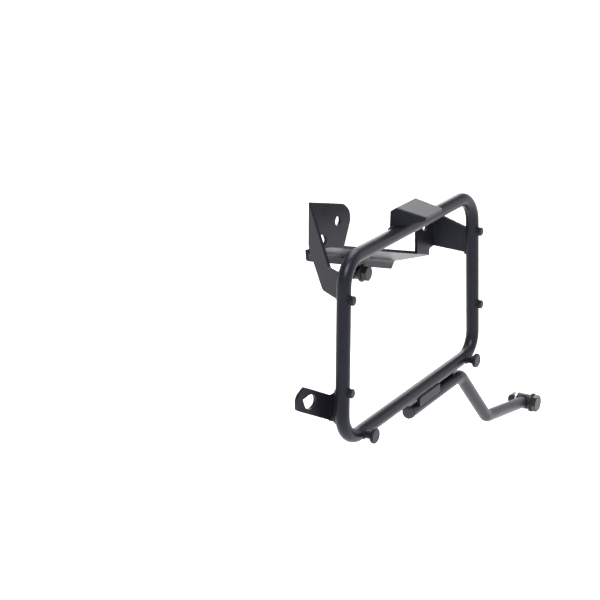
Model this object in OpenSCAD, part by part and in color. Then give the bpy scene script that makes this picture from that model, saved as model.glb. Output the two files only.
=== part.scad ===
// Side frame that carries one hard pannier on the right of a motorcycle.
// A closed loop of round steel tube takes the case. A folded bracket holds the loop to the
// bike's subframe, a tab at the rear takes the cross strut, and a bent stay runs forward and
// down to the footrest hanger. X runs forward, Z up, Y inboard; the origin is the upper rear
// fixing hole. Sizes are first laid out from the middle of the loop and moved there once.

/* [Tube] */
// Outside diameter of the loop and stay tube
tube_d = 18; // [14:0.5:22]
// Wall of the tube
tube_wall = 2; // [1:0.25:3]

/* [Loop] */
// Length of the bottom run, corner to corner on the tube's centre line
loop_l = 365; // [330:1:400]
// Height of the loop between centre lines
loop_h = 233; // [210:1:260]
// How far the rear upright leans forward from bottom to top
rear_rake = 15; // [0:1:25]
// How far the front upright leans back from bottom to top
front_rake = 5; // [0:1:15]
// Bend radius at the lower rear corner
bend_rear_low = 38; // [30:1:45]
// Bend radius at the lower front corner
bend_front_low = 31; // [28:1:45]
// Bend radius at the upper front corner
bend_front_up = 42; // [30:1:45]
// Bend radius at the upper rear corner
bend_rear_up = 34; // [30:1:45]

/* [Bracket] */
// Thickness of the folded bracket
bracket_t = 4; // [3:0.5:5]
// Distance of the bracket's ears inboard of the loop, at the rear hole
ear_offset = 70; // [60:1:80]
// Angle by which the ears close on the loop towards the front
toe = 2.6; // [0:0.1:4]
// Rear hole's place along the loop, from its middle
rear_hole_x = -67; // [-75:1:-60]
// Rear hole's height above the middle of the loop
rear_hole_z = 132; // [126:1:138]
// Distance from the rear hole forward to the front hole
hole_gap = 217; // [213:1:221]
// Drop from the rear hole to the front hole
hole_drop = 63; // [60:1:66]
// Diameter of the two fixing holes
fix_hole_d = 13; // [9:0.5:14]
// Downward slope of the shelf towards the front
shelf_pitch = 17.4; // [15:0.1:19]
// Sideways slope of the shelf, down towards the bike
shelf_roll = 18.5; // [10:0.5:24]
// Depth of the flange along the shelf's inboard edge
flange_h = 13; // [10:0.5:16]
// Angle of the rear leg in plan, from the loop's plane
rear_leg_angle = 61.4; // [55:0.1:68]
// Angle of the front leg in plan, from the loop's plane
front_leg_angle = 93.4; // [88:0.1:98]

/* [Shelf bolt] */
// Diameter of the shelf bolt's shank
lug_bolt_d = 10; // [8:1:12]
// Diameter of the flange under the shelf bolt's head
lug_head_d = 25; // [23:0.5:28]
// Size of the shelf bolt's hexagon head, across its flats
lug_head_hex = 19; // [15:1:20]
// Length of the sleeve between the lug and the bolt's head
lug_sleeve_l = 9; // [6:1:14]

/* [Catch] */
// Thickness of the catch's sheet
catch_t = 3.5; // [2.5:0.5:4]
// Length of the catch's top along the loop
catch_l = 50; // [40:1:60]
// Reach of the catch's top outboard of the loop
catch_reach = 38; // [30:1:45]
// Height of the catch's ridge above the top tube's centre line
catch_h = 32; // [28:1:38]

/* [Rear tab] */
// Thickness of the rear tab
tab_t = 5; // [3:0.5:6]
// Width of the rear tab
tab_w = 30; // [27:1:34]
// Length of the rear tab's arm, fold to tip
tab_l = 62; // [56:1:70]
// Height of the rear tab's fold above the bottom tube's centre line
tab_up = 42; // [38:1:48]
// Radius of the round part of the tab's hole
tab_hole_r = 9.5; // [7:0.5:10]
// Distance from the tab's tip to the middle of its hole
tab_hole_in = 22; // [20:1:26]

/* [Studs] */
// Diameter of the four small studs on the uprights
side_stud_d = 12; // [9:0.5:14]
// How far the small studs stand out of the tube
side_stud_out = 6; // [4:0.5:8]
// Diameter of the two locating discs under the case
disc_d = 20; // [16:0.5:24]
// Distance of the locating discs' outer face from the loop's plane
disc_out = 24; // [20:0.5:28]

/* [Stay] */
// Gap between the bottom tube and the stay
stay_gap = 6; // [4:0.5:9]
// Bend radius of the stay
stay_bend = 30; // [26:1:36]
// Diameter of the eye at the stay's front end
eye_d = 24; // [20:1:28]
// Length of the eye
eye_l = 22; // [22:1:28]
// Diameter of the footrest bolt
foot_bolt_d = 12; // [10:1:14]
// Size of the footrest bolt's hexagon head, across its flats
foot_head_hex = 24; // [22:1:26]
// Size of the footrest nut, across its flats
foot_nut_hex = 19; // [18:1:22]
// Diameter of the footrest bolt's outer washer
foot_washer_d = 30; // [26:1:30]

/* [Hidden] */
$fn = 48;
STEEL = [0.16, 0.16, 0.18];
ZINC = [0.70, 0.71, 0.72];
RUBBER = [0.08, 0.08, 0.09];
tube_r = tube_d / 2;
bore_r = tube_r - tube_wall;
// Running clearance of bolts in their holes and plugs in tubes
clearance = 0.25;
// How far a bend stands proud of its straight runs, and a fold of its sheet
bend_swell = 0.05;
// How far a straight run reaches into a bend
tuck = 1;

// Corners of the loop's centre line, in order: rear low, front low, front up, rear up.
loop_pts = [
    [-loop_l / 2, 0, -loop_h / 2],
    [loop_l / 2, 0, -loop_h / 2],
    [loop_l / 2 - front_rake, 0, loop_h / 2],
    [-loop_l / 2 + rear_rake, 0, loop_h / 2]];
loop_bends = [bend_rear_low, bend_front_low, bend_front_up, bend_rear_up];

// Where an upright's centre line is at height z.
function rear_x(z) = -loop_l / 2 + rear_rake * (z / loop_h + 0.5);
function front_x(z) = loop_l / 2 - front_rake * (z / loop_h + 0.5);

// Distance along a leg from its upright to the plane of the ears, at height z.
function leg_reach(upright_x, angle) =
    (ear_offset * cos(toe) - (upright_x - rear_hole_x) * sin(toe)) / sin(angle + toe);

// Places in the ears' plane, as distance forward of and above the rear hole.
function in_ears(x, y) = (x - rear_hole_x) * cos(toe) - (y - ear_offset) * sin(toe);
rear_fold_u = [for (z = [rear_hole_z + 38, rear_hole_z - 16])
    let (s = leg_reach(rear_x(z), rear_leg_angle))
    in_ears(rear_x(z) + s * cos(rear_leg_angle), s * sin(rear_leg_angle))];
front_fold_u = [for (z = [85, 35])
    let (s = leg_reach(front_x(z), front_leg_angle))
    in_ears(front_x(z) + s * cos(front_leg_angle), s * sin(front_leg_angle))];

// The shelf's outboard edge, where both ears rise from it.
shelf_drop = 34.3;
function shelf_w(u) = -shelf_drop - u * tan(shelf_pitch);
shelf_rear = [-18.4, 35.4];
shelf_front = [234, 53.4];
shelf_len = norm(shelf_front - shelf_rear);
flange_turn = atan2(shelf_front[1] - shelf_rear[1], shelf_front[0] - shelf_rear[0]);

// Bolt through the shelf's lug, measured along and below the flange's rear corner.
lug_along = 140;
lug_below = 21;
lug_flange_t = 3;
lug_head_h = 8;
lug_washer_t = 2;
lug_nut_h = 8;
lug_bolt_tail = 4;

// Stay: centre line from its rear end to the eye.
stay_z = -loop_h / 2 - tube_d - stay_gap;
eye_pos = [430, 26, -293];
stay_pts = [[-6, 2, stay_z], [145, 2, stay_z], [249, 9, -246], eye_pos];
stay_bends = [0, stay_bend, stay_bend, 0];
strap_w = 5;
strap_h = 11;
strap_rear = [6, 64];
strap_front = [92, 131];

// Footrest bolt, from its head outboard to its nut inboard.
foot_head_h = 9;
foot_outer_t = 3;
foot_inner_t = 2.5;
foot_nut_h = 9;
foot_tail = 5;
foot_y = eye_pos[1] - eye_l / 2;

function unit(v) = v / norm(v);
function trim(a, b, c, r) = r * tan(acos(unit(b - a) * unit(c - b)) / 2);

// Moves the layout from the middle of the loop to the rear fixing hole.
module from_hole() {
    translate([-rear_hole_x, -ear_offset, -rear_hole_z]) children();
}

// Puts local +Z along w, with local +X along u, at p.
module place(p, u, w) {
    v = cross(w, u);
    multmatrix([[u[0], v[0], w[0], p[0]], [u[1], v[1], w[1], p[1]], [u[2], v[2], w[2], p[2]]])
        children();
}

// Ring, as the section of a washer or a sleeve.
module section(r_out, r_in) {
    difference() {
        circle(r_out);
        circle(r_in);
    }
}

// Straight round bar from p to q.
module run(p, q, r) {
    w = unit(q - p);
    side = abs(w[1]) < 0.9 ? unit(cross([0, 1, 0], w)) : [1, 0, 0];
    place(p, side, w) cylinder(r = r, h = norm(q - p));
}

// What is left of v square to u, as a direction.
function square_to(v, u) = unit(v - u * (u * v));

// Length of straight that the bend at corner i takes up on each side of it.
function bend_cut(pts, radii, i) =
    let (n = len(pts))
    radii[i] == 0 ? 0 : trim(pts[(i + n - 1) % n], pts[i], pts[(i + 1) % n], radii[i]);

// Round bar along the corners in pts, with a bend of each radius in radii; 0 is a free end.
// A bend stands bend_swell proud of its runs, as a bent tube does, and they end inside it.
module bent_bar(pts, radii, r) {
    n = len(pts);
    for (i = [0:n - 1]) {
        b = pts[i];
        c = pts[(i + 1) % n];
        after = unit(c - b);
        if (radii[i] > 0) {
            before = unit(b - pts[(i + n - 1) % n]);
            inward = square_to(after, before);
            place(b - before * bend_cut(pts, radii, i) + inward * radii[i],
                -inward, cross(before, inward))
                rotate_extrude(angle = acos(before * after), $fn = 96)
                translate([radii[i], 0])
                circle(r + bend_swell);
        }
        if (radii[i] > 0 || i < n - 1) {
            next = (i + 1) % n;
            from = radii[i] > 0 ? bend_cut(pts, radii, i) - tuck : 0;
            to = radii[next] > 0 ? bend_cut(pts, radii, next) - tuck : 0;
            run(b + after * from, c - after * to, r);
        }
    }
}

// One side of the loop, corner to corner, which copes what is welded to it.
module side_bar(i) {
    run(loop_pts[i], loop_pts[(i + 1) % 4], tube_r);
}

// Outline with rounded corners: each point is [x, y, radius].
function arc_points(a, b, c, r) =
    let (u = unit(a - b), v = unit(c - b), half = acos(u * v) / 2)
    let (mid = b + unit(u + v) * r / sin(half))
    let (from = b + u * r / tan(half) - mid, to = b + v * r / tan(half) - mid)
    let (a0 = atan2(from[1], from[0]), a1 = atan2(to[1], to[0]))
    let (sweep = (a1 - a0 + 540) % 360 - 180)
    [for (k = [0:6]) mid + r * [cos(a0 + sweep * k / 6), sin(a0 + sweep * k / 6)]];
function xy(p) = [p[0], p[1]];
function rounded(pts) = [for (i = [0:len(pts) - 1])
    let (n = len(pts), p = pts[i])
    each (p[2] > 0
        ? arc_points(xy(pts[(i + n - 1) % n]), xy(p), xy(pts[(i + 1) % n]), p[2])
        : [xy(p)])];

// Flat plate of thickness t whose outline stands in the XZ plane, centred on Y = 0.
module upright_plate(pts, t) {
    translate([0, t / 2, 0]) rotate([90, 0, 0]) linear_extrude(t) polygon(rounded(pts));
}

// Flat plate in the XY plane, centred on Z = 0.
module flat_plate(pts, t) {
    translate([0, 0, -t / 2]) linear_extrude(t) polygon(rounded(pts));
}

// Rounded outer corner of a fold between two plates of thickness t.
module fold(p, q, t) {
    run(p, q, t / 2 + bend_swell);
}

module in_ear_plane() {
    translate([rear_hole_x, ear_offset, rear_hole_z]) rotate([0, 0, -toe]) children();
}

module in_shelf_plane() {
    in_ear_plane()
        translate([0, 0, -shelf_drop])
        rotate([0, shelf_pitch, 0])
        rotate([-shelf_roll, 0, 0])
        children();
}

module in_flange_plane() {
    in_shelf_plane()
        translate([shelf_rear[0], shelf_rear[1], 0])
        rotate([0, 0, flange_turn])
        rotate([shelf_roll, 0, 0])
        children();
}

// Leg's own plane: X from the upright towards the ear, Z up the upright's lean.
module in_leg_plane(upright_x, lean, angle) {
    translate([upright_x, 0, 0]) rotate([0, lean, 0]) rotate([0, 0, angle]) children();
}

// Ear with the rear fixing hole, folded from the rear leg on its left edge.
module rear_ear() {
    foot = shelf_w(12);
    difference() {
        upright_plate([
            [rear_fold_u[0], 38, 0], [14, 19, 12], [33, 3, 18], [12, foot, 0],
            [-20, shelf_w(-20), 0], [-20, -25, 8], [-30, -9, 8], [-47, -8, 10],
            [rear_fold_u[1], -16, 0]], bracket_t);
        rotate([90, 0, 0]) cylinder(d = fix_hole_d, h = 3 * bracket_t, center = true);
    }
}

// Ear with the front fixing hole, joined to the shelf by a neck.
module front_ear() {
    rear_u = hole_gap - 22;
    neck_u = hole_gap + 11;
    difference() {
        upright_plate([
            [rear_u, shelf_w(rear_u), 0], [rear_u, -hole_drop + 17, 0],
            [rear_u + 13, -hole_drop + 23, 0], [front_fold_u[0], -hole_drop + 15, 0],
            [front_fold_u[1], -hole_drop - 34, 2], [neck_u, -hole_drop - 35, 5],
            [neck_u, shelf_w(neck_u), 0]], bracket_t);
        translate([hole_gap, 0, -hole_drop])
            rotate([90, 0, 0])
            cylinder(d = fix_hole_d, h = 3 * bracket_t, center = true);
    }
}

// Legs from the uprights to the ears, before they are coped to the tube.
module rear_leg() {
    top = rear_hole_z + 38;
    in_leg_plane(rear_x(0), atan(rear_rake / loop_h), rear_leg_angle)
        upright_plate([
            [0, 66, 0], [48, 70, 9], [leg_reach(rear_x(116), rear_leg_angle), 116, 0],
            [leg_reach(rear_x(top), rear_leg_angle), top, 0],
            [34, 101, 6], [0, 100, 0]], bracket_t);
}

module front_leg() {
    in_leg_plane(front_x(0), -atan(front_rake / loop_h), front_leg_angle)
        upright_plate([
            [0, 30, 0], [leg_reach(front_x(35), front_leg_angle), 35, 0],
            [leg_reach(front_x(85), front_leg_angle), 85, 0], [0, 64, 0]], bracket_t);
}

module shelf() {
    in_shelf_plane()
        flat_plate([
            [-21, 0, 0], [246, 0, 4], [shelf_front[0], shelf_front[1], 0],
            [shelf_rear[0], shelf_rear[1], 0]], bracket_t);
}

// Flange along the shelf's inboard edge, with the lug that takes the shelf bolt.
module flange() {
    in_flange_plane()
        difference() {
            upright_plate([
                [0, 0, 0], [shelf_len, 0, 0], [shelf_len - 6, -flange_h, 4],
                [lug_along + 40, -flange_h, 6], [lug_along + 36, -lug_below - 10, 3],
                [lug_along - 16, -lug_below - 10, 5], [lug_along - 18, -flange_h, 6],
                [6, -flange_h, 5]], bracket_t);
            translate([lug_along, 0, -lug_below])
                rotate([90, 0, 0])
                cylinder(d = lug_bolt_d + 2 * clearance, h = 3 * bracket_t, center = true);
        }
}

module loop_tube() {
    color(STEEL) from_hole() difference() {
        bent_bar(loop_pts, loop_bends, tube_r);
        bent_bar(loop_pts, loop_bends, bore_r);
    }
}

module bracket() {
    color(STEEL) from_hole() difference() {
        union() {
            in_ear_plane() rear_ear();
            in_ear_plane() front_ear();
            rear_leg();
            front_leg();
            shelf();
            flange();
            in_ear_plane() fold([rear_fold_u[1], 0, -16], [rear_fold_u[0], 0, 38], bracket_t);
            in_ear_plane() fold([front_fold_u[1], 0, -hole_drop - 34],
                [front_fold_u[0], 0, -hole_drop + 15], bracket_t);
            in_shelf_plane() {
                fold([-20 / cos(shelf_pitch), 0, 0], [12 / cos(shelf_pitch), 0, 0], bracket_t);
                fold([(hole_gap - 22) / cos(shelf_pitch), 0, 0],
                    [(hole_gap + 11) / cos(shelf_pitch), 0, 0], bracket_t);
            }
            in_flange_plane() fold([0, 0, 0], [shelf_len, 0, 0], bracket_t);
        }
        side_bar(1);
        side_bar(3);
    }
}

// Hooked catch on the top tube: a web, a narrow ridge and a sloping top with a rear cheek,
// folded from one sheet.
module catch() {
    ridge_z = loop_h / 2 + catch_h;
    rear = -37;
    front = rear + catch_l;
    knee = [6, ridge_z - 4];
    ridge_w = norm([knee[0], ridge_z - knee[1]]);
    ridge_dip = atan2(ridge_z - knee[1], knee[0]);
    top_dip = 14.4;
    top_w = catch_reach / cos(top_dip);
    tip_drop = top_w * sin(top_dip);
    rear_skew = 8;
    cheek_turn = atan2(-catch_reach, rear_skew);
    cheek_w = norm([catch_reach, rear_skew]);
    color(STEEL) from_hole() difference() {
        union() {
            translate([0, 0, ridge_z]) rotate([top_dip, 0, 0]) flat_plate([
                [rear, 0, 0], [rear + rear_skew, -top_w, 4], [front + 2, -top_w, 4],
                [front, 0, 0]], catch_t);
            translate([0, 0, ridge_z]) rotate([-ridge_dip, 0, 0]) flat_plate([
                [rear, 0, 0], [front, 0, 0], [front + 3, ridge_w, 0], [rear - 3, ridge_w, 0]], catch_t);
            translate([0, knee[0], 0]) upright_plate([
                [rear - 3, knee[1], 0], [rear - 6, loop_h / 2, 0], [front + 6, loop_h / 2, 0],
                [front + 3, knee[1], 0]], catch_t);
            translate([rear, 0, ridge_z]) rotate([0, 0, cheek_turn])
                upright_plate([
                    [-5, -4, 0], [0, 0, 0], [cheek_w, -tip_drop, 0],
                    [cheek_w - 2, -tip_drop - 3, 2], [-5, -24, 0]], catch_t);
            fold([rear, 0, ridge_z], [front, 0, ridge_z], catch_t);
            fold([rear - 3, knee[0], knee[1]], [front + 3, knee[0], knee[1]], catch_t);
            fold([rear, 0, ridge_z], [rear + rear_skew, -catch_reach, ridge_z - tip_drop], catch_t);
        }
        side_bar(2);
    }
}

// Folded tab for the rear cross strut, with a drop-shaped hole. The fold runs along the
// upright, and the arm rises to the rear.
module rear_tab() {
    fold_xy = [8, 22];
    fold_z = -loop_h / 2 + tab_up;
    rise = 25;
    half = tab_w / 2;
    edge = half / cos(rise);
    hole_at = tab_l - tab_hole_in;
    module along_arm(s, w) {
        translate([s * cos(rise) - w * sin(rise), 0, s * sin(rise) + w * cos(rise)]) children();
    }
    function arm(s, w, r) =
        [s * cos(rise) - w * sin(rise), s * sin(rise) + w * cos(rise), r];
    color(STEEL) from_hole() difference() {
        translate([rear_x(0), 0, 0]) rotate([0, atan(rear_rake / loop_h), 0]) {
            rotate([0, 0, atan2(fold_xy[1], fold_xy[0])]) upright_plate([
                [0, fold_z - 13, 0], [norm(fold_xy), fold_z - edge, 0],
                [norm(fold_xy), fold_z + edge, 0], [0, fold_z + 33, 0]], tab_t);
            translate([fold_xy[0], fold_xy[1], fold_z]) {
                fold([0, 0, -edge], [0, 0, edge], tab_t);
                rotate([0, 0, 164.5]) difference() {
                    upright_plate([
                        [0, -edge, 0], arm(tab_l - 6, -half, 3), arm(tab_l, -4, 14),
                        arm(tab_l, 4, 14), arm(tab_l - 6, half, 3), [0, edge, 0]], tab_t);
                    along_arm(hole_at, 0) rotate([90, -rise, 0])
                        linear_extrude(3 * tab_t, center = true) {
                        circle(tab_hole_r);
                        rotate(-45) square(tab_hole_r - 0.1);
                    }
                }
            }
        }
        side_bar(3);
    }
}

// Small stud on upright i of the loop: a short stem with a domed button.
module side_stud(x, z, i) {
    out = tube_r + side_stud_out;
    color(STEEL) from_hole() difference() {
        translate([x, 0, z]) rotate([90, 0, 0]) rotate_extrude() polygon([
            [0, 0], [side_stud_d / 2 - 1.5, 0], [side_stud_d / 2 - 1.5, out - 4],
            [side_stud_d / 2, out - 3.5], [side_stud_d / 2, out - 1], [side_stud_d / 2 - 1.5, out],
            [0, out]]);
        side_bar(i);
    }
}

module side_stud_rear_upper() {
    side_stud(rear_x(70), 70, 3);
}

module side_stud_rear_lower() {
    side_stud(rear_x(-47), -47, 3);
}

module side_stud_front_upper() {
    side_stud(front_x(63), 63, 1);
}

module side_stud_front_lower() {
    side_stud(front_x(-44), -44, 1);
}

// Locating disc under the case: a turned stem and collar.
module locating_disc(x) {
    color(STEEL) from_hole() difference() {
        translate([x, 0, -loop_h / 2]) rotate([90, 0, 0]) rotate_extrude() polygon([
            [0, 0], [5.5, 0], [5.5, disc_out - 5], [disc_d / 2 - 1, disc_out - 5],
            [disc_d / 2, disc_out - 4], [disc_d / 2, disc_out - 1], [disc_d / 2 - 1, disc_out],
            [0, disc_out]]);
        side_bar(0);
    }
}

module locating_disc_rear() {
    locating_disc(-139);
}

module locating_disc_front() {
    locating_disc(150);
}

// Carries a child from the lug's hole, with +Z pointing inboard from the lug's outer face.
module at_lug() {
    from_hole() in_flange_plane() translate([lug_along, 0, -lug_below])
        rotate([-90, 0, 0]) children();
}

module shelf_bolt() {
    head_at = -bracket_t / 2 - lug_sleeve_l;
    tail_at = bracket_t / 2 + lug_washer_t + lug_nut_h + lug_bolt_tail;
    color(STEEL) at_lug() {
        translate([0, 0, head_at - lug_flange_t + tuck])
            rotate([180, 0, 0])
            hex_nut(lug_head_hex, lug_head_h + tuck, 0);
        rotate_extrude() polygon([
            [0, head_at - lug_flange_t], [lug_head_d / 2 - 0.8, head_at - lug_flange_t],
            [lug_head_d / 2, head_at - lug_flange_t + 0.8], [lug_head_d / 2, head_at],
            [lug_bolt_d / 2, head_at], [lug_bolt_d / 2, tail_at - 1],
            [lug_bolt_d / 2 - 1, tail_at], [0, tail_at]]);
    }
}

module shelf_sleeve() {
    color(STEEL) at_lug() translate([0, 0, -bracket_t / 2 - lug_sleeve_l])
        linear_extrude(lug_sleeve_l)
        section(lug_bolt_d / 2 + 4, lug_bolt_d / 2 + clearance);
}

module shelf_washer() {
    color(STEEL) at_lug() translate([0, 0, bracket_t / 2])
        linear_extrude(lug_washer_t)
        section(lug_bolt_d + 1, lug_bolt_d / 2 + clearance);
}

// Hexagon nut with its corners turned off on the outer face.
module hex_nut(across, height, hole_d) {
    difference() {
        intersection() {
            cylinder(d = across / cos(30), h = height, $fn = 6);
            rotate_extrude() polygon([[0, 0], [across / 2 + 2.5, 0], [across / 2 + 2.5, height - 1.6],
                [across / 2, height], [0, height]]);
        }
        translate([0, 0, -1]) cylinder(d = hole_d, h = height + 2);
    }
}

module shelf_nut() {
    color(STEEL) at_lug() translate([0, 0, bracket_t / 2 + lug_washer_t])
        hex_nut(lug_bolt_d * 1.7, lug_nut_h, lug_bolt_d + 2 * clearance);
}

module stay_tube() {
    color(STEEL) from_hole() difference() {
        bent_bar(stay_pts, stay_bends, tube_r);
        bent_bar([stay_pts[0] - [1, 0, 0], stay_pts[1], stay_pts[2], stay_pts[3]],
            stay_bends, bore_r);
        translate(eye_pos) rotate([90, 0, 0]) cylinder(d = eye_d, h = 3 * eye_l, center = true);
    }
}

// Flat strap welded in the valley between the bottom tube and the stay, on one side of it.
module stay_strap(ends, side) {
    mid_z = -loop_h / 2 - tube_r - stay_gap / 2;
    color(STEEL) from_hole() difference() {
        translate([ends[0], side * (tube_r - strap_w / 2) - strap_w / 2, mid_z - strap_h / 2])
            cube([ends[1] - ends[0], strap_w, strap_h]);
        side_bar(0);
        run(stay_pts[0], stay_pts[1], tube_r);
    }
}

module stay_strap_rear() {
    stay_strap(strap_rear, -1);
}

module stay_strap_front() {
    stay_strap(strap_front, 1);
}

module stay_plug() {
    color(RUBBER) from_hole() translate(stay_pts[0]) rotate([0, 90, 0]) rotate_extrude() polygon([
        [0, -4], [tube_r - 3, -4], [tube_r - 0.5, -2.5], [tube_r - 0.5, 0],
        [bore_r - clearance, 0], [bore_r - clearance, 12], [0, 12]]);
}

module stay_eye() {
    color(STEEL) from_hole() translate(eye_pos) rotate([90, 0, 0])
        translate([0, 0, -eye_l / 2])
        linear_extrude(eye_l)
        section(eye_d / 2, foot_bolt_d / 2 + clearance);
}

// Carries a child on the footrest bolt's axis, with +Z pointing inboard from the outer face.
module at_foot() {
    from_hole() translate([eye_pos[0], foot_y, eye_pos[2]]) rotate([-90, 0, 0]) children();
}

module footrest_bolt() {
    tail_at = eye_l + foot_inner_t + foot_nut_h + foot_tail;
    color(STEEL) at_foot() {
        translate([0, 0, -foot_outer_t]) rotate([180, 0, 0])
            hex_nut(foot_head_hex, foot_head_h, 0);
        rotate_extrude() polygon([
            [0, -foot_outer_t], [foot_bolt_d / 2, -foot_outer_t], [foot_bolt_d / 2, tail_at - 1],
            [foot_bolt_d / 2 - 1, tail_at], [0, tail_at]]);
    }
}

module footrest_outer_washer() {
    color(STEEL) at_foot() translate([0, 0, -foot_outer_t])
        linear_extrude(foot_outer_t)
        section(foot_washer_d / 2, foot_bolt_d / 2 + clearance);
}

module footrest_inner_washer() {
    color(ZINC) at_foot() translate([0, 0, eye_l])
        linear_extrude(foot_inner_t)
        section(foot_washer_d / 2 - 2, foot_bolt_d / 2 + clearance);
}

module footrest_nut() {
    color(STEEL) at_foot() translate([0, 0, eye_l + foot_inner_t])
        hex_nut(foot_nut_hex, foot_nut_h, foot_bolt_d + 2 * clearance);
}

loop_tube();
bracket();
catch();
rear_tab();
side_stud_rear_upper();
side_stud_rear_lower();
side_stud_front_upper();
side_stud_front_lower();
locating_disc_rear();
locating_disc_front();
shelf_bolt();
shelf_sleeve();
shelf_washer();
shelf_nut();
stay_tube();
stay_strap_rear();
stay_strap_front();
stay_plug();
stay_eye();
footrest_bolt();
footrest_outer_washer();
footrest_inner_washer();
footrest_nut();
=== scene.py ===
"""Right-hand pannier frame for a motorcycle, dressed for its portrait: satin black powder coat over
welded steel, black fasteners, one bright washer, on a pale studio floor."""

import math
import random

import bmesh
import bpy
from mathutils import Matrix, Vector


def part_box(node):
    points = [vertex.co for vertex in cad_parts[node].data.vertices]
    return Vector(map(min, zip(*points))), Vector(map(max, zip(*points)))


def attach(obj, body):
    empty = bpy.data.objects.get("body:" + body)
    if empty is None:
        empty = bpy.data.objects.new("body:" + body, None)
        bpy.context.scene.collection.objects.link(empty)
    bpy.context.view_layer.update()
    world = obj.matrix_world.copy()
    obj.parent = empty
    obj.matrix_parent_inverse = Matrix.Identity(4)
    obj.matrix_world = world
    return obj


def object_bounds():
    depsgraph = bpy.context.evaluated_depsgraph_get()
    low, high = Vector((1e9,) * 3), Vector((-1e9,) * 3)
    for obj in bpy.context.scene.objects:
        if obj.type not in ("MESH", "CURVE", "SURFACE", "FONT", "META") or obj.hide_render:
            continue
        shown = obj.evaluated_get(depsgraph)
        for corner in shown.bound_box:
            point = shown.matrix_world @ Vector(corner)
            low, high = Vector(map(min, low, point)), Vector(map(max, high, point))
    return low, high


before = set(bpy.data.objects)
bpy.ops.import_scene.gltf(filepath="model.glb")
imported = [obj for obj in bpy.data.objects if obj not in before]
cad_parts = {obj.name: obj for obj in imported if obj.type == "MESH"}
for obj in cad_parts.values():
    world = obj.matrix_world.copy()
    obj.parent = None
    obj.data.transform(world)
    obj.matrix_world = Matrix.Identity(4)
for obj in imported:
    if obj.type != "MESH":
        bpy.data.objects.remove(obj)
cad_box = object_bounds()
scene = bpy.context.scene

# The camera stands behind and outside the frame, a little above it, and looks forward along the
# motorcycle's side. The frame keeps its place to the right of the picture's middle.
camera_at = Vector((-1.541, -0.9343, 0.5205))
camera_heading = math.radians(32.81)
camera_dip = math.radians(19.13)
camera_roll = math.radians(1.83)
camera_lens = 88.96
camera_film = 36

level = Vector((math.sin(camera_heading), -math.cos(camera_heading), 0))
ahead = Vector((math.cos(camera_heading) * math.cos(camera_dip),
                math.sin(camera_heading) * math.cos(camera_dip), -math.sin(camera_dip)))
upright = level.cross(ahead)
across = level * math.cos(camera_roll) - upright * math.sin(camera_roll)
camera = bpy.data.objects.new("camera", bpy.data.cameras.new("camera"))
camera.data.lens = camera_lens
camera.data.sensor_width = camera_film
camera.data.clip_start, camera.data.clip_end = 0.05, 100
turn = Matrix((across, across.cross(ahead), -ahead)).transposed()
camera.matrix_world = Matrix.Translation(camera_at) @ turn.to_4x4()
scene.collection.objects.link(camera)
scene.camera = camera


# The powder coat is a baked polyester film over the welded steel. It is satin, with a fine
# orange peel, and the blasting under it leaves faint changes of gloss along each piece.
class Wire:
    """A shader socket that takes part in sums. Each sum adds its Math node to the same tree."""

    def __init__(self, tree, socket):
        self.tree, self.socket = tree, socket

    def maths(self, operation, a, b):
        """A Math node between two wires or numbers."""
        return self.node("ShaderNodeMath", {"operation": operation}, {0: a, 1: b})

    def __add__(self, other):
        return self.maths("ADD", self, other)

    def __radd__(self, other):
        return self.maths("ADD", other, self)

    def __mul__(self, other):
        return self.maths("MULTIPLY", self, other)

    def __rmul__(self, other):
        return self.maths("MULTIPLY", other, self)

    def node(self, kind, settings, sockets, out=0):
        """Any other node: its type, its settings, then the values or wires of its sockets."""
        made = self.tree.nodes.new(kind)
        for name, value in settings.items():
            setattr(made, name, value)
        for name, value in sockets.items():
            if isinstance(value, Wire):
                self.tree.links.new(value.socket, made.inputs[name])
            else:
                made.inputs[name].default_value = value
        return Wire(self.tree, made.outputs[out])

    def noise(self, scale, detail, roughness=0.5):
        """Cloudy noise over the places that this wire gives, scale being in waves per metre."""
        return self.node("ShaderNodeTexNoise", {}, {
            "Vector": self, "Scale": scale, "Detail": detail, "Roughness": roughness})

    def between(self, dark, light):
        """A colour that goes from dark to light as this wire goes from 0 to 1."""
        first_colour, second_colour, mixed = 6, 7, 2
        return self.node("ShaderNodeMix", {"data_type": "RGBA"}, {
            "Factor": self, first_colour: (*dark, 1), second_colour: (*light, 1)}, out=mixed)


def new_finish(name):
    """A material with a bare Principled shader, its shader node and a wire of object places."""
    material = bpy.data.materials.new(name)
    material.use_nodes = True
    shader = material.node_tree.nodes["Principled BSDF"]
    place = Wire(material.node_tree, None).node("ShaderNodeTexCoord", {}, {}, out="Object")
    return material, shader, place


def feed(shader, **wires):
    """Links each wire to the shader's socket of that name, with _ for each space."""
    for name, wire in wires.items():
        wire.tree.links.new(wire.socket, shader.inputs[name.replace("_", " ")])


def relief(height, strength, depth, edge_round):
    """Surface bumps over edges that are softened by edge_round."""
    soft_edge = height.node("ShaderNodeBevel", {"samples": 4}, {"Radius": edge_round})
    return height.node("ShaderNodeBump", {}, {
        "Height": height, "Strength": strength, "Distance": depth, "Normal": soft_edge})


def dress(material, *names):
    """Gives the named CAD pieces this material alone."""
    for name in names:
        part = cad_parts[name]
        part.data.materials.clear()
        part.data.materials.append(material)


coat_dark = (0.0045, 0.0047, 0.0068)
coat_light = (0.0085, 0.0088, 0.0120)
coat_tint = (0.80, 0.83, 1, 1)
coat_gloss = 0.22
coat_rough, cloud_rough, peel_rough = 0.28, 0.10, 0.05
peel_scale = 620
grit_scale = 3.2 * peel_scale
grit_share = 0.25
peel_depth = 0.00006
coat_edge = 0.0008

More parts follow.
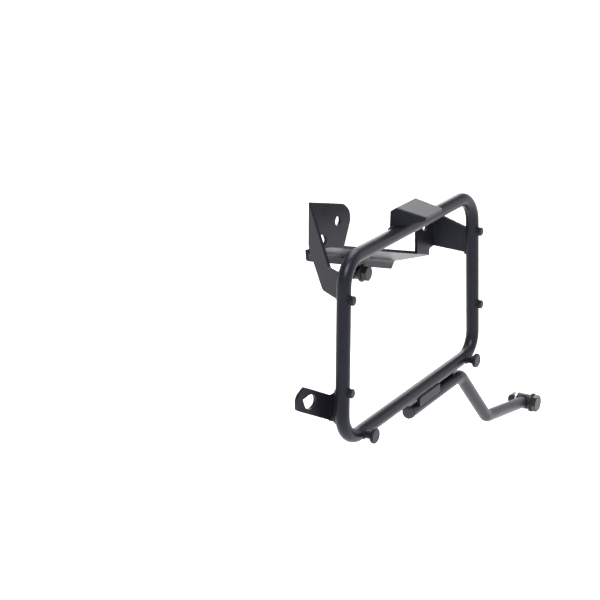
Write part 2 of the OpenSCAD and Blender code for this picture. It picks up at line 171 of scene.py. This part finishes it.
coat, shader, place = new_finish("satin_black_powder_coat")
clouds = place.noise(scale=38, detail=3, roughness=0.6)
peel = place.noise(peel_scale, detail=2, roughness=0.45)
grit = place.noise(grit_scale, detail=1)
feed(shader, Base_Color=clouds.between(coat_dark, coat_light),
     Roughness=coat_rough + cloud_rough * clouds + peel_rough * peel,
     Normal=relief(peel + grit_share * grit, strength=0.5, depth=peel_depth, edge_round=coat_edge))
shader.inputs["Specular IOR Level"].default_value = coat_gloss
shader.inputs["Specular Tint"].default_value = coat_tint

dress(coat, "loop_tube", "bracket", "catch", "rear_tab", "side_stud_rear_upper",
      "side_stud_rear_lower", "side_stud_front_upper", "side_stud_front_lower",
      "locating_disc_rear", "locating_disc_front", "shelf_sleeve", "stay_tube",
      "stay_strap_rear", "stay_strap_front", "stay_eye")


# The bracket's two legs, the catch and the rear tab are sheet steel, welded all round where they
# stand on the loop. Each seam is a row of small overlapping drops, and the coat runs over it.
# Seams, folds and threads are set out in millimetres, in places measured from the loop's middle.
loop_middle = Vector((67, -70, -132))
loop_length, loop_height = 365, 233
rear_rake, front_rake = 15, 5
tube_radius = 9
rear_lean = math.atan2(rear_rake, loop_height)
front_lean = -math.atan2(front_rake, loop_height)
upright_rear = (rear_rake - loop_length) / 2
upright_front = (loop_length - front_rake) / 2

drop_pitch = 2.1
drop_swell = 0.09
drop_shake = 0.035
bead_step = 0.4
bead_sides = 12
bead_taper = 1.6
blunt_end = 0.05
crease = math.radians(50)


def from_loop(point):
    """A point in millimetres from the loop's middle, as metres from the rear fixing hole."""
    return (Vector(point) + loop_middle) / 1000


def in_loop(node):
    """Lowest and highest corner of a CAD piece, in millimetres from the loop's middle, to a tenth."""
    return [Vector([round(1000 * value, 1) for value in corner]) - loop_middle
            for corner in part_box(node)]


def even_steps(points, closed):
    """Points a bead_step apart along a path, with the path's own length."""
    corners = list(points) + ([points[0]] if closed else [])
    steps, walked = [], 0
    for a, b in zip(corners, corners[1:]):
        span = (b - a).length
        while len(steps) * bead_step <= walked + span:
            steps.append(a.lerp(b, (len(steps) * bead_step - walked) / span))
        walked += span
    return steps, walked


def round_ring(mesh, middle, side, other, radius):
    """One ring of a bead, in the plane of side and other."""
    angles = [2 * math.pi * k / bead_sides for k in range(bead_sides)]
    return [mesh.verts.new(from_loop(middle + radius * (math.cos(a) * side + math.sin(a) * other)))
            for a in angles]


def lay_bead(mesh, points, radius, closed=False):
    """Adds one bead of weld along the points, thinned towards its open ends."""
    steps, length = even_steps([Vector(p) for p in points], closed)
    if closed and (steps[-1] - steps[0]).length < bead_step / 2:
        steps.pop()
    shake = random.Random(round(length * 100))
    count = len(steps)
    # The first ring turns about any direction that isn't the path's own.
    rings, side = [], Vector((0.31, 0.52, 0.79))
    for i, middle in enumerate(steps):
        before = steps[i - 1] if closed or i else steps[0]
        after = steps[(i + 1) % count] if closed or i < count - 1 else steps[-1]
        along = (after - before).normalized()
        side = (side - along * side.dot(along)).normalized()
        walked = i * bead_step
        size = radius * (1 + drop_swell * math.sin(2 * math.pi * walked / drop_pitch))
        size *= 1 + drop_shake * (shake.random() - 0.5)
        if not closed:
            to_end = min(walked, length - walked)
            size *= math.sqrt(min(1, blunt_end + to_end / (bead_taper * radius)))
        rings.append(round_ring(mesh, middle, side, along.cross(side), size))
    for here, there in zip(rings, rings[1:] + ([rings[0]] if closed else [])):
        slip = min(range(bead_sides), key=lambda k: (here[0].co - there[k].co).length)
        for k in range(bead_sides):
            m = (k + 1) % bead_sides
            mesh.faces.new((here[k], here[m], there[(m + slip) % bead_sides],
                            there[(k + slip) % bead_sides]))
    if not closed:
        mesh.faces.new(reversed(rings[0]))
        mesh.faces.new(rings[-1])


def new_piece(name, mesh, material):
    """Turns a finished mesh into a smooth piece of the frame with its material."""
    bmesh.ops.recalc_face_normals(mesh, faces=mesh.faces)
    data = bpy.data.meshes.new(name)
    mesh.to_mesh(data)
    mesh.free()
    data.shade_smooth()
    data.set_sharp_from_angle(angle=crease)
    data.materials.append(material)
    piece = bpy.data.objects.new(name, data)
    scene.collection.objects.link(piece)
    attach(piece, "root")


def all_round(spot, half, low, high):
    """Path round the foot of a sheet: spot gives a place beside and along it."""
    bulge = 0.45
    fan = [22.5 * k for k in range(-4, 5)]
    ends = [(high, 90 - a) for a in fan] + [(low, -90 - a) for a in fan]
    return [spot(half * math.cos(math.radians(a)), end + half * bulge * math.sin(math.radians(a)))
            for end, a in ends]


def on_upright(upright_x, lean, angle):
    """Spots round the foot of a sheet that stands on an upright, turned by angle in plan."""
    stand = (Matrix.Translation((upright_x, 0, 0)) @ Matrix.Rotation(lean, 4, "Y")
             @ Matrix.Rotation(math.radians(angle), 4, "Z"))
    lift = 0.6
    reach = tube_radius + lift
    return lambda side, along: stand @ Vector((math.sqrt(reach ** 2 - side ** 2), side, along))


def on_top_tube(sheet_y):
    """Spots round the foot of the catch's web, which stands off the tube's middle."""
    lift = 0.7
    reach = tube_radius + lift
    return lambda side, along: Vector((
        along, sheet_y + side, loop_height / 2 + math.sqrt(reach ** 2 - (sheet_y + side) ** 2)))


rear_leg_turn, front_leg_turn, tab_turn = 61.4, 93.4, 70.0
rear_leg_foot, front_leg_foot, tab_foot = (67, 99.5), (31, 63.5), (-88, -48.5)
catch_web_y = 6
catch_foot = [corner.x for corner in in_loop("catch")]
leg_sheet, catch_sheet, tab_sheet = 4, 3.5, 5
leg_bead, catch_bead, tab_bead = 2.1, 1.9, 2.3
bead_out = 0.8

rear_leg_spot = on_upright(upright_rear, rear_lean, rear_leg_turn)
front_leg_spot = on_upright(upright_front, front_lean, front_leg_turn)
tab_spot = on_upright(upright_rear, rear_lean, tab_turn)
for name, spot, sheet, foot, bead in (
        ("rear_leg_weld", rear_leg_spot, leg_sheet, rear_leg_foot, leg_bead),
        ("front_leg_weld", front_leg_spot, leg_sheet, front_leg_foot, leg_bead),
        ("catch_weld", on_top_tube(catch_web_y), catch_sheet, catch_foot, catch_bead),
        ("rear_tab_weld", tab_spot, tab_sheet, tab_foot, tab_bead)):
    mesh = bmesh.new()
    lay_bead(mesh, all_round(spot, sheet / 2 + bead_out, *foot), bead, closed=True)
    new_piece(name, mesh, coat)


# The bracket is 4 mm sheet, folded over a round-nosed tool, so the shelf runs into its flange on a
# round inner corner. The rear ear's foot spreads towards the leg. Both belong to that one sheet.
ear_toe_in = math.radians(-2.6)
shelf_drop = 34.3
shelf_slope = math.radians(17.4)
shelf_roll = math.radians(18.5)
shelf_rear, shelf_front = Vector((-18.4, 35.4)), Vector((234, 53.4))
half_sheet = leg_sheet / 2
inner_bend = 6
bend_parts = 12
bend_starts, bend_stops_short = 4, 5
tuck_in = Vector((0.6, 0.5))

flange_way = shelf_front - shelf_rear
ear_seat = Matrix.Translation(-loop_middle) @ Matrix.Rotation(ear_toe_in, 4, "Z")
flange_seat = (
    ear_seat @ Matrix.Translation((0, 0, -shelf_drop)) @ Matrix.Rotation(shelf_slope, 4, "Y")
    @ Matrix.Rotation(-shelf_roll, 4, "X") @ Matrix.Translation((*shelf_rear, 0))
    @ Matrix.Rotation(math.atan2(flange_way.y, flange_way.x), 4, "Z")
    @ Matrix.Rotation(shelf_roll, 4, "X"))


def join_ends(mesh, near, far):
    """A straight solid between two outlines with as many points."""
    ends = [[mesh.verts.new(from_loop(point)) for point in end] for end in (near, far)]
    mesh.faces.new(ends[0])
    mesh.faces.new(ends[1])
    for k in range(len(near)):
        m = (k + 1) % len(near)
        mesh.faces.new((ends[0][k], ends[0][m], ends[1][m], ends[1][k]))


under = Vector((-math.cos(shelf_roll), math.sin(shelf_roll)))
down = Vector((0, -1))
corner = half_sheet * Vector((-1, (math.sin(shelf_roll) - 1) / math.cos(shelf_roll)))
half_open = under.angle(down) / 2
pivot = corner + (under + down).normalized() * inner_bend / math.sin(half_open)
first = math.atan2(*reversed(corner + under * inner_bend / math.tan(half_open) - pivot))
swing = math.pi - 2 * half_open
bend_angles = [first - swing * k / bend_parts for k in range(bend_parts + 1)]
bend_side = [pivot + inner_bend * Vector((math.cos(a), math.sin(a))) for a in bend_angles]
mesh = bmesh.new()
join_ends(mesh, *[[flange_seat @ Vector((x, y, z)) for y, z in bend_side + [corner + tuck_in]]
                  for x in (bend_starts, flange_way.length - bend_stops_short)])
new_piece("flange_bend", mesh, coat)

# The ear foot's outline runs in the ear's own plane, from its fixing hole.
foot_outline = (
    (-19.5, -28.4), (-29, -27.8), (-31, -27), (-31.8, -25.6), (-31.2, -24.2), (-27.4, -20.8),
    (-26.4, -18.6), (-27.6, -11), (-31, -8.8), (-19.5, -25))
below_face = 0.02
foot_half = half_sheet - below_face
mesh = bmesh.new()
join_ends(mesh, *[[ear_seat @ Vector((x, y, z)) for x, z in foot_outline]
                  for y in (-foot_half, foot_half)])
new_piece("rear_ear_foot", mesh, coat)


# The two straps fill the valley between the bottom tube and the stay. Each is welded along its top
# edge to the loop and along its lower edge to the stay.
# Each seam stands at one y and z, and runs along the strap to near its ends.
strap_bead = 2.0
strap_end = 1
mesh = bmesh.new()
for strap, top_edge, low_edge in (
        ("stay_strap_rear", (-7.7, -122.6), (-6.1, -134.6)),
        ("stay_strap_front", (7.7, -122.6), (8.7, -134.6))):
    strap_low, strap_high = in_loop(strap)
    for edge in (top_edge, low_edge):
        lay_bead(mesh, [(strap_low.x + strap_end, *edge), (strap_high.x - strap_end, *edge)],
                 strap_bead)
new_piece("strap_welds", mesh, coat)


# The four studs and the two locating discs are turned pins. Each stem is welded round its foot to
# the outboard side of the tube, so its seam follows the tube's curve.
stud_stem, disc_stem = 4.5, 5.5
stud_bead, disc_bead = 1.1, 1.5
off_stem = 0.5
lying = math.pi / 2


def stem_ring(middle, lean, radius):
    """Saddle-shaped path round a stem that stands outboard on a tube."""
    along = Vector((math.sin(lean), 0, math.cos(lean)))
    beside = Vector((math.cos(lean), 0, -math.sin(lean)))
    lift = 0.3
    reach = tube_radius + lift
    ring = []
    for degrees in range(0, 360, 10):
        side = radius * math.cos(math.radians(degrees))
        up = radius * math.sin(math.radians(degrees))
        outboard = Vector((0, math.sqrt(reach ** 2 - side ** 2), 0))
        ring.append(Vector(middle) + side * beside + up * along - outboard)
    return ring


mesh = bmesh.new()
for pin, upright_x, lean in (
        ("side_stud_rear_upper", upright_rear, rear_lean),
        ("side_stud_rear_lower", upright_rear, rear_lean),
        ("side_stud_front_upper", upright_front, front_lean),
        ("side_stud_front_lower", upright_front, front_lean)):
    height = sum(corner.z for corner in in_loop(pin)) / 2
    foot = (upright_x + height * math.tan(lean), 0, height)
    lay_bead(mesh, stem_ring(foot, lean, stud_stem + off_stem), stud_bead, closed=True)
for pin in ("locating_disc_rear", "locating_disc_front"):
    foot = (sum(corner.x for corner in in_loop(pin)) / 2, 0, -loop_height / 2)
    lay_bead(mesh, stem_ring(foot, lying, disc_stem + off_stem), disc_bead, closed=True)
new_piece("stem_welds", mesh, coat)


# The eye at the stay's front end is a length of thick tube set across it. The stay's end is cut
# to the eye's curve and welded all round.
eye_low, eye_high = in_loop("stay_eye")
eye_middle = (eye_low + eye_high) / 2
eye_radius = (eye_high.z - eye_low.z) / 2
eye_bead = 1.9
eye_bead_out = 0.4
stay_low_bend = Vector((249, 9, -246))

stay_way = (eye_middle - stay_low_bend).normalized()
stay_side = stay_way.cross(Vector((0, 1, 0))).normalized()
stay_up = stay_way.cross(stay_side)
way = Vector((stay_way.x, stay_way.z))
saddle = []
for k in range(48):
    a = math.radians(7.5 * k)
    rim = (tube_radius + eye_bead_out) * (math.cos(a) * stay_side + math.sin(a) * stay_up)
    out = Vector((rim.x, rim.z))
    past = out.dot(out) - (eye_radius + eye_bead_out) ** 2
    back = way.dot(out) + math.sqrt(way.dot(out) ** 2 - way.dot(way) * past)
    saddle.append(eye_middle + rim - stay_way * back / way.dot(way))
mesh = bmesh.new()
lay_bead(mesh, saddle, eye_bead, closed=True)
new_piece("stay_eye_weld", mesh, coat)


# The bolts, nuts and washers are steel with a black passivated zinc layer. It is thinner than the
# paint, so the turned faces shine more. The threads show where the shanks come through their nuts.
zinc_dark, zinc_light = (0.008, 0.008, 0.010), (0.020, 0.020, 0.024)
zinc_rough, mottle_rough = 0.26, 0.16

black_zinc, shader, place = new_finish("black_passivated_zinc")
mottle = place.noise(scale=420, detail=3, roughness=0.6)
feed(shader, Base_Color=mottle.between(zinc_dark, zinc_light),
     Roughness=zinc_rough + mottle_rough * mottle,
     Normal=relief(place.noise(scale=2600, detail=1), strength=0.4, depth=0.00003, edge_round=0.0004))
shader.inputs["Specular IOR Level"].default_value = 0.3
dress(black_zinc, "shelf_bolt", "shelf_washer", "shelf_nut", "footrest_bolt",
      "footrest_outer_washer", "footrest_nut")


def cut_thread(name, seat, radius, pitch, start, end):
    """A helical ridge round a shank, in the seat's own frame with Z along the shank."""
    per_turn, run_out = 28, 8
    ridge, half_root, sunk = 0.3 * pitch, 0.46 * pitch, 0.15
    count = int(per_turn * (end - start - pitch) / pitch)
    mesh = bmesh.new()
    rows = []
    for i in range(count + 1):
        a = 2 * math.pi * i / per_turn
        z = start + pitch / 2 + pitch * i / per_turn
        crest = radius + ridge * min(1, i / run_out, (count - i) / run_out)
        profile = ((radius - sunk, z - half_root), (crest, z), (radius - sunk, z + half_root))
        rows.append([mesh.verts.new(from_loop(seat @ Vector((r * math.cos(a), r * math.sin(a), up))))
                     for r, up in profile])
    for a, b in zip(rows, rows[1:]):
        for k in range(3):
            m = (k + 1) % 3
            mesh.faces.new((a[k], a[m], b[m], b[k]))
    mesh.faces.new(rows[0])
    mesh.faces.new(rows[-1])
    new_piece(name, mesh, black_zinc)


lug_along, lug_down = 140, 21
shelf_nut_face, shelf_thread_end = 12, 15.2
shank_chamfer = 0.9
footrest_nut_face = in_loop("footrest_nut")[1].y - eye_low.y
footrest_shank_end = in_loop("footrest_bolt")[1].y - eye_low.y

inboard = Matrix.Rotation(math.radians(-90), 4, "X")
lug_seat = flange_seat @ Matrix.Translation((lug_along, 0, -lug_down)) @ inboard
eye_seat = Matrix.Translation((eye_middle.x, eye_low.y, eye_middle.z)) @ inboard
cut_thread("shelf_bolt_thread", lug_seat, radius=5, pitch=1.5,
           start=shelf_nut_face, end=shelf_thread_end)
cut_thread("footrest_bolt_thread", eye_seat, radius=6, pitch=1.75,
           start=footrest_nut_face, end=footrest_shank_end - shank_chamfer)


# The inner washer at the footrest is bright zinc over steel, the one light piece on the frame. It is
# punched from sheet and plated in a barrel, so its faces are slightly dulled.
bright_dark, bright_light = (0.58, 0.59, 0.61), (0.78, 0.79, 0.81)
bright_rough, spangle_rough = 0.22, 0.18

bright, shader, place = new_finish("bright_zinc")
spangle = place.noise(scale=900, detail=2)
feed(shader, Base_Color=spangle.between(bright_dark, bright_light),
     Roughness=bright_rough + spangle_rough * spangle,
     Normal=relief(spangle, strength=0.3, depth=0.00003, edge_round=0.0004))
shader.inputs["Metallic"].default_value = 1.0
dress(bright, "footrest_inner_washer")


# The plug is pressed into the stay's rear end to keep water out. It is moulded in black plastic with
# the fine matt texture of a spark-eroded mould.
plug_dark, plug_light = (0.010, 0.010, 0.011), (0.018, 0.018, 0.019)
plug_rough, grain_rough = 0.55, 0.15

plastic, shader, place = new_finish("moulded_black_plastic")
grain = place.noise(scale=1500, detail=2)
feed(shader, Base_Color=grain.between(plug_dark, plug_light),
     Roughness=plug_rough + grain_rough * grain,
     Normal=relief(grain, strength=0.4, depth=0.00005, edge_round=0.0005))
dress(plastic, "stay_plug")


# The studio: a pale floor well below the hung frame, which glows white far off, a surround that dims
# overhead, and four large soft lights. The frame bolts to the motorcycle, so it touches no floor.
# The studio is set out in metres, round the middle of the frame's own box.
low, high = cad_box
middle = (low + high) / 2
floor_below = 0.30
floor_size = 60
floor_at = Vector((3, 2, low.z - floor_below))
paper_dark, paper_light = (0.93, 0.93, 0.935), (0.95, 0.95, 0.955)
near_glow, far_glow = (0.15, 0.15, 0.15), (1, 1, 1)
glow_starts, glow_is_full = 1.5, 5.0

bpy.ops.mesh.primitive_plane_add(size=floor_size, location=floor_at)
floor = bpy.context.object
floor.name = "studio_floor"
floor_with_painted_glow, shader, place = new_finish("pale_floor_painted_glow")
# Painted light: the floor's own emission is dim beneath the frame and full white far off, so it
# brightens the ground behind the frame and whatever it shines on.
below_frame = (middle.x - floor_at.x, middle.y - floor_at.y, 0)
distance = place.node("ShaderNodeVectorMath", {"operation": "DISTANCE"},
                      {0: place, 1: below_frame}, out="Value")
farness = distance.node("ShaderNodeMapRange", {}, {
    "Value": distance, "From Min": glow_starts, "From Max": glow_is_full})
feed(shader, Base_Color=place.noise(scale=6, detail=2).between(paper_dark, paper_light),
     Emission_Color=farness.between(near_glow, far_glow))
shader.inputs["Roughness"].default_value = 0.9
shader.inputs["Specular IOR Level"].default_value = 0.1
shader.inputs["Emission Strength"].default_value = 1
floor.data.materials.append(floor_with_painted_glow)

dimming_starts, dimming_ends = 0.10, 0.40
horizon_light, overhead_light = 1.0, 0.42
world = bpy.data.worlds.new("studio_world")
scene.world = world
world.use_nodes = True
surround = world.node_tree.nodes["Background"]
surround.inputs["Color"].default_value = (1, 1, 1, 1)
sight = Wire(world.node_tree, None).node("ShaderNodeTexCoord", {}, {}, out="Generated")
height = sight.node("ShaderNodeSeparateXYZ", {}, {"Vector": sight}, out="Z")
feed(surround, Strength=height.node("ShaderNodeMapRange", {}, {
    "Value": height, "From Min": dimming_starts, "From Max": dimming_ends,
    "To Min": horizon_light, "To Max": overhead_light}))
scene.view_settings.view_transform = "Standard"

for name, offset, size, power in (
        ("key", (-1.5, -0.9, 1.9), 1.0, 70),
        ("fill", (1.8, -1.9, 0.9), 1.6, 12),
        ("top", (0.6, 0.3, 2.1), 1.6, 60),
        ("back", (2.2, 1.4, 1.1), 1.6, 30)):
    light = bpy.data.objects.new(name, bpy.data.lights.new(name, "AREA"))
    light.data.size = size
    light.data.energy = power
    light.visible_camera = False
    light.location = middle + Vector(offset)
    light.rotation_euler = (middle - light.location).to_track_quat("-Z", "Y").to_euler()
    scene.collection.objects.link(light)
